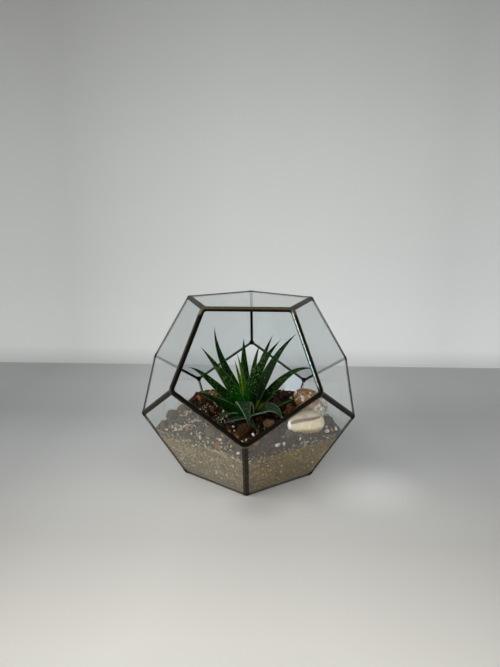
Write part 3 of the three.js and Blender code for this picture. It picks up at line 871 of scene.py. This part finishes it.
def cowrie(name, size, place, finish):
    """A cowrie on X, base down: domed back, flattened base and a toothed slit along it."""
    length, width, height = size
    bm = bmesh.new()
    bmesh.ops.create_uvsphere(bm, u_segments=128, v_segments=64, radius=1)
    bmesh.ops.rotate(bm, cent=(0, 0, 0), matrix=Matrix.Rotation(math.pi / 2, 3, "Y"), verts=bm.verts)
    readings = {"along": [], "side": [], "dome": [], "slit": []}
    dome = height / (1 + SHELL_FLAT)
    for vert in bm.verts:
        x, y, z = vert.co
        full = 1 + SHELL_FULLNESS * x
        bow = y - SHELL_SLIT_SIDE + SHELL_SLIT_SLANT * x - 0.05 * math.sin(x * 3.4)
        slit, swell = 0, 1
        if z < 0:
            slit = hump(bow, SHELL_SLIT_WIDTH * (1 - 0.35 * x)) * (1 - x ** 4)
            lips = hump(abs(bow) - SHELL_LIP_OUT, 0.1) * (1 - x ** 6)
            teeth = lips * SHELL_TOOTH * math.sin(x * SHELL_TEETH)
            swell = SHELL_FLAT * (1 - SHELL_SLIT * slit + SHELL_LIP * lips + teeth)
        knob = (SHELL_KNOB - SHELL_KNOB * x) * hump(abs(x) - SHELL_KNOB_OUT, 0.1)
        vert.co = (x * length / 2, y * full * width / 2 * (1 + knob),
                   z * full * swell * dome * (1 + knob))
        for key, value in (("along", x), ("side", bow), ("dome", z), ("slit", slit)):
            readings[key].append(value)
    faces_out(bm)
    bmesh.ops.transform(bm, matrix=place, verts=bm.verts)
    piece(name + "_shell", bm, [finish], replaces=[name], readings=readings)


cowrie("cowrie_front", (36, 24, 19), shell_frame((56, -40, 63.5), (1, 0.05, 0.17), (-0.08, -1, 0.42)),
       cowrie_underside())
cowrie("cowrie_back", (38, 27, 23), shell_frame((62, -15.75, 75), (32, -6, -24), (-0.3, 0.7, -0.65)),
       cowrie_back())


# ---- Stones, bark and grit ----

FILL_DEPTH = 2.4  # of the fill's sides, and of what lies on it, below the case's faces
ABOVE_MIX = 150
MIX_REACH = 96
PANE_HALF = 62
MOST_TRIES = 4000


def tree_of(names):
    """A tree for finding the nearest point of these CAD nodes, in metres."""
    verts, tris = [], []
    for name in names:
        mesh = nodes[name].data
        tris += [[i + len(verts) for i in p.vertices] for p in mesh.polygons]
        verts += [v.co.copy() for v in mesh.vertices]
    return BVHTree.FromPolygons(verts, tris)


mix_tree = tree_of(["potting_mix"])
fill_tree = tree_of(["potting_mix", "sand_layer"])
guest_tree = tree_of([n for n in nodes if n.startswith(("leaf_", "cowrie_", "stem"))])


def rock(seed, subdivisions, rugged):
    """A rounded lump of radius 1."""
    bm = bmesh.new()
    bmesh.ops.create_icosphere(bm, subdivisions=subdivisions, radius=1)
    shift = Vector((seed * 7.3, seed * 3.1, seed * 1.7))
    for vert in bm.verts:
        way = vert.co.normalized()
        swell = noise.noise(way * 1.2 + shift) + 0.45 * noise.noise(way * 2.9 + shift)
        vert.co = way * (1 + rugged * swell)
    return to_mesh(bm)


def shard(seed, blunted):
    """A block of radius about 1, trimmed by five flat cuts."""
    draw = random.Random(seed)
    bm = bmesh.new()
    bmesh.ops.create_cube(bm, size=1.7)
    for _ in range(5):
        way = Vector([draw.uniform(-1, 1) for _ in range(3)]).normalized()
        trim(bm, way * draw.uniform(0.55, 0.85), way)
    faces_out(bm)
    chamfer(bm, bm.edges, blunted)
    return to_mesh(bm)


def rough_shard(seed, rugged):
    """A shard with craggy faces, for bark."""
    bm = bmesh.new()
    bm.from_mesh(shard(seed, 0.12))
    bmesh.ops.triangulate(bm, faces=bm.faces)
    bmesh.ops.subdivide_edges(bm, edges=bm.edges, cuts=2, use_grid_fill=True, smooth=0.3)
    shift = Vector((seed * 5.1, seed * 2.3, seed * 9.7))
    bm.normal_update()
    for vert in bm.verts:
        swell = noise.noise(vert.co * 2.2 + shift) + 0.6 * noise.noise(vert.co * 5 + shift)
        vert.co += vert.normal * rugged * swell
    return to_mesh(bm)


pebbles = [rock(seed, 2, 0.34) for seed in range(6)]
crumbs = [rock(seed + 20, 1, 0.5) for seed in range(6)]
shards = [shard(seed, 0.08) for seed in range(6)]
barks = [rough_shard(seed + 40, 0.16) for seed in range(6)]
boulders = [rock(seed + 60, 3, 0.3) for seed in range(4)]


def clear_of_panes(point, reach):
    """Moves a point level and inwards until a lump of that reach clears the lower panes."""
    for face in lower_faces:
        side = outward(face)
        flat = Vector((side.x, side.y, 0))
        depth = CASE_HEIGHT / 2 - (point - CENTRE).dot(side)
        point = point - flat * max(FILL_DEPTH + reach - depth, 0) / flat.length_squared
    return point


class Heap(Pile):
    """Lumps on the mix and grains behind the glass, placed by random draws of its own."""

    def __init__(self, seed, shapes):
        super().__init__()
        self.draw, self.shapes = random.Random(seed), shapes

    def lay(self, x, y, size, shade=None, sunk=0.35, stretch=(1, 1, 1), room=0.5):
        """Lays one lump of that size across on the mix, if there is room for it."""
        point, normal, *_ = mix_tree.ray_cast(Vector((x, y, ABOVE_MIX)) * MM, Vector((0, 0, -1)))
        if point is None or normal.z < 0.5:
            return
        middle = clear_of_panes(point / MM + normal * size * (0.5 - sunk), size * 0.58)
        if guest_tree.find_nearest(middle * MM, size * room * MM)[0] is not None:
            return
        turn = Quaternion([self.draw.gauss(0, 1) for _ in range(4)]).normalized().to_matrix().to_4x4()
        place = Matrix.Translation(middle) @ turn @ Matrix.Diagonal((*[s * size / 2 for s in stretch], 1))
        self.drop(self.draw.choice(self.shapes), place, self.draw.random() if shade is None else shade)

    def lay_all(self, rows, **how):
        for row in rows:
            self.lay(*row, **how)

    def between(self, small, large):
        """A size that is more often small."""
        return small + (large - small) * self.draw.random() ** 2

    def scatter(self, count, small, large, where, **how):
        for _ in range(count):
            x, y = where(self.draw)
            self.lay(x, y, self.between(small, large), **how)

    def against_pane(self, face, count, small, large, level, spread, thin=0.5, proud=0.2):
        """Presses flattened grains against the inside of a lower pane, about a height."""
        draw, place, inward = self.draw, face_frame(face, 0), -outward(face)
        tries = 0
        while count and tries < MOST_TRIES:
            tries += 1
            across, up = draw.uniform(-PANE_HALF, PANE_HALF), draw.uniform(-PANE_HALF, PANE_HALF)
            start = place @ Vector((across, 0, up))
            if abs(start.z + FILL_DEPTH * inward.z - draw.gauss(level, spread)) > 1:
                continue
            hit = fill_tree.ray_cast(start * MM, inward)
            if hit[0] is None or hit[3] / MM > FILL_DEPTH + 0.2 or hit[1].dot(inward) > -0.95:
                continue
            size = self.between(small, large)
            half = size * thin / 2
            point = hit[0] / MM + inward * (half - proud)
            scale = (size / 2 * draw.uniform(0.7, 1), size / 2 * draw.uniform(0.45, 0.9), half)
            turned = standing(point, inward, scale, draw.uniform(0, math.pi))
            self.drop(draw.choice(self.shapes), turned, draw.random())
            count -= 1

    def against_panes(self, counts, *how, **more):
        for face, count in zip(lower_faces, counts):
            self.against_pane(face, count, *how, **more)

    def finish(self, name, slot, *finish, **more):
        """Ends the heap as one piece. Shards keep their flat faces."""
        piece(name, self.bm, [lump_finish(name, *finish, **more)], readings={"shade": self.shades},
              smooth=self.shapes is not shards)


def out_from_axis(way, out):
    return out * math.sin(way), -out * math.cos(way)


def anywhere(draw):
    """A place on the mix."""
    return out_from_axis(draw.uniform(0, 2 * math.pi), MIX_REACH * math.sqrt(draw.random()))


def front_left(draw):
    """A place on the slope behind the left front pane."""
    return out_from_axis(math.radians(draw.uniform(-100, -8)), draw.uniform(52, 94))


def inner_left(draw):
    """A place on the mix left of the plant."""
    return draw.uniform(-64, -20), draw.uniform(-34, 34)


def by_the_shells(draw):
    """A place along the foot of the front shell."""
    return draw.uniform(36, 80), draw.uniform(-58, -44)


# each row is x, y, size and, where they matter, shade and sunk

heap = Heap("bark", barks)
placed = [
    (-62, 27, 12, 0.2), (-54, 14, 11, 0.35), (-43, -8, 10, 0.3), (-37, -2, 9, 0.7), (-50, 24, 12, 0.45),
    (-4, -54, 17, 0.55), (-17, -48, 9, 0.5), (39, 45, 15, 0.3), (29, 26, 13, 0.6), (43, 2, 12, 0.85),
    (50, 30, 13, 0.35), (30, 58, 12, 0.25), (-34, 60, 11, 0.6), (-12, 62, 12, 0.3), (12, -66, 9, 0.4),
    (24, -52, 9, 0.45), (-32, -50, 12, 0.4), (-46, -40, 9, 0.2), (16, 44, 12, 0.4), (-58, 44, 12, 0.55),
]
heap.lay_all(placed, sunk=0.3, stretch=(1, 0.78, 0.62), room=0.25)
heap.scatter(64, 5, 10, anywhere, stretch=(1, 0.75, 0.55), room=0.4)
stops = ((0, 22, 15, 11), (0.3, 38, 26, 18), (0.6, 64, 41, 26), (0.85, 118, 74, 42),
         (1, 146, 102, 66))
heap.finish("bark_chunks", "potting_mix", stops, 2.6, 0.8, fleck=(150, 128, 104))

heap = Heap("stones", boulders)
placed = [(-80, -8, 15, 0.35, 0.14), (-84, -26, 11, 0.7, 0.35), (21, -37, 13, 0.6, 0.3),
          (-34, -56, 12, 0.5, 0.3), (-45, -45, 10, 0.4, 0.3), (-66, -22, 9, 0.3, 0.1),
          (-72, 12, 10, 0.5, 0.2), (39, -54, 10, 0.45, 0.3), (62, 12, 10, 0.5, 0.3),
          (72, 20, 9, 0.2, 0.3)]
heap.lay_all(placed, stretch=(1, 0.85, 0.7), room=0.2)
heap.shapes = pebbles
heap.scatter(60, 3, 6, anywhere, stretch=(1, 0.8, 0.6))
stops = ((0, 70, 59, 43), (0.5, 104, 90, 64), (0.75, 116, 83, 58), (1, 146, 127, 94))
heap.finish("brown_stones", "sand", stops, 2.2, 0.5, 0.8)

heap = Heap("terracotta", shards)
placed = [(-9, -66, 5.5), (-17, -51, 4.5), (-57, 40, 8), (-38, 52, 5), (-27, -77, 7),
          (-51, -63, 7), (-58, -45, 5), (-53, -42, 5), (-73, 8, 5), (81, -35, 6), (9, -73, 6),
          (-46, 64, 6), (34, -58, 4)]
heap.lay_all(placed, sunk=0.15, stretch=(1, 0.7, 0.55), room=0.2)
heap.scatter(60, 2, 5, anywhere, sunk=0.2, stretch=(1, 0.7, 0.55))
heap.against_panes((5, 4, 4, 4, 9), 3, 6.5, 50.5, 2.5)
stops = ((0, 130, 74, 44), (0.5, 168, 100, 62), (1, 200, 133, 90))
heap.finish("terracotta_bits", "sand", stops, 1.5, 0.2)

heap = Heap("perlite", pebbles)
placed = [(-41, -14, 4.5, 0.9), (-14, -43, 4, 0.9), (6, -59, 4.2, 1), (-4, -71, 2.6, 1),
          (-24, -66, 4, 1), (-43, -62, 3.4, 0.7), (-64, -2, 3.4, 0.8), (78, -41, 5.6, 1),
          (86, -31, 4.6, 1), (77, -30, 4.2, 0.6), (28, -77, 4.6, 1), (34, -71, 3.4, 0.8),
          (46, 44, 4, 0.5), (-7, -91, 4.2, 1), (84, -38, 4, 0.9), (74, -46, 3.5, 0.8)]
stretch = (1, 0.75, 0.6)
heap.lay_all(placed, sunk=0.1, stretch=stretch, room=0.2)
heap.scatter(110, 1.4, 3.6, anywhere, sunk=0.15, stretch=stretch)
heap.scatter(90, 1, 2.4, inner_left, sunk=0, stretch=stretch, room=0.2)
heap.against_panes((60, 40, 40, 40, 44), 1.2, 3.6, 50, 3)
stops = ((0, 170, 158, 118), (0.4, 208, 199, 168), (0.7, 228, 224, 210), (1, 242, 240, 234))
heap.finish("white_grit", "sand", stops, 1.2, 0.15, 0.7)

heap = Heap("chips", shards)
placed = [(-68, -50, 5), (-68, -12, 5.5), (-74, -34, 4.5), (-60, -30, 4), (-52, -74, 5),
          (-36, -84, 4.5)]
heap.lay_all(placed, sunk=0.1, stretch=(1, 0.6, 0.4), room=0.2)
heap.scatter(340, 1.4, 4, front_left, sunk=0.1, stretch=(1, 0.65, 0.4))
heap.scatter(60, 1.2, 3.4, anywhere, sunk=0.1, stretch=(1, 0.65, 0.4))
heap.against_panes((110, 40, 40, 40, 150), 1.4, 4.2, 49, 3.4, thin=0.4, proud=0.25)
stops = ((0, 150, 136, 98), (0.4, 196, 184, 146), (0.7, 226, 216, 184), (1, 244, 240, 224))
heap.finish("cream_chips", "sand", stops, 1.2, 0.15, 0.7)

heap = Heap("flecks", shards)
heap.against_panes((80, 70, 70, 70, 130), 0.9, 2.8, 27, 11, thin=0.3, proud=0.25)
heap.against_panes((12, 12, 12, 12, 12), 2.6, 4.6, 28, 10, thin=0.25, proud=0.25)
stops = ((0, 196, 182, 146), (0.5, 232, 224, 198), (1, 252, 250, 240))
heap.finish("shell_flecks", "sand", stops, 1, 0.1, 0.6)

# Coarse sand worked up into the mix along the glass
heap = Heap("border", crumbs)
heap.against_panes((330, 200, 200, 200, 380), 1, 2.8, 47.5, 2.2)
stops = ((0, 66, 57, 39), (0.4, 98, 89, 64), (0.75, 128, 117, 88), (1, 176, 164, 128))
heap.finish("border_grit", "sand", stops, 1, 0.2)

heap = Heap("crumbs", crumbs)
heap.scatter(3600, 1.2, 4.2, anywhere, sunk=0.3, stretch=(1, 0.8, 0.6), room=0.1)
heap.scatter(260, 1.6, 4, by_the_shells, sunk=0.1, stretch=(1, 0.8, 0.7), room=0.1)
for face in lower_faces:
    heap.against_pane(face, 150, 1.2, 4.5, 52, 3)
    heap.against_pane(face, 60, 1, 2.4, 45, 1.2)
stops = ((0, 18, 13, 10), (0.5, 38, 27, 20), (0.85, 64, 47, 34), (1, 92, 76, 58))
heap.finish("mix_crumbs", "potting_mix", stops, 1.6, 0.4, dusty=True)


# ---- Floor, wall and light ----

def stage_plane(name, size, place, finish):
    bm = bmesh.new()
    bmesh.ops.create_grid(bm, x_segments=1, y_segments=1, size=0.5)
    bmesh.ops.scale(bm, vec=(*size, 1), verts=bm.verts)
    bmesh.ops.transform(bm, matrix=place, verts=bm.verts)
    plane = put(name, to_mesh(bm, name))
    plane.data.materials.append(finish)


FLOOR_BACK = 0.407
WALL_AT = 0.75
stage_plane("floor", (6, 4), Matrix.Translation((0, FLOOR_BACK - 2, -0.0002)), floor_paint_and_painted_light())
stage_plane("wall", (6, 4), Matrix.Translation((0, WALL_AT, 0.8)) @ Matrix.Rotation(math.pi / 2, 4, "X"),
            wall_paint_and_painted_light())

ROOM_LIGHT = 0.18
ROOM_MIRRORED = 0.5
ROOM_COLOUR = (0.94, 0.98, 1, 1)


def soft_light(name, at, aim, size, watts, colour=(1, 1, 1), mirrored=True, seen_through=False):
    lamp = put(name, bpy.data.lights.new(name, "AREA"))
    lamp.data.shape = "RECTANGLE"
    lamp.data.size, lamp.data.size_y = size
    lamp.data.energy = watts
    lamp.data.color = colour
    lamp.location = at
    lamp.visible_transmission = seen_through
    lamp.visible_glossy = mirrored
    lamp.rotation_mode = "QUATERNION"
    lamp.rotation_quaternion = (Vector(aim) - Vector(at)).to_track_quat("-Z", "Y")


soft_light("left", (-1.1, -0.6, 0.75), (0, 0, 0.08), (1.0, 1.0), 16, (1.0, 0.985, 0.96))
soft_light("front", (-0.15, -1.6, 0.75), (0, 0, 0.08), (1.4, 0.9), 14, (1.0, 0.98, 0.95), mirrored=False)
soft_light("right", (1.1, -0.7, 0.85), (0, 0, 0.05), (0.9, 0.9), 6, mirrored=False)
soft_light("window", (0.14, -1.124, 0.946), (0.048, 0.087, 0.064), (0.1, 0.1), 0.09, (0.42, 0.7, 1.0),
           seen_through=True)

room = Finish("studio", bpy.data.worlds, "OutputWorld")
in_mirror = room.node("LightPath").outputs["Is Glossy Ray"]
strength = room.math("MULTIPLY_ADD", in_mirror, ROOM_MIRRORED - ROOM_LIGHT, ROOM_LIGHT)
sky = room.node("Background", {"Color": ROOM_COLOUR, "Strength": strength})
bpy.context.scene.world = room.surface(sky)
bpy.context.scene.view_settings.view_transform = "Standard"
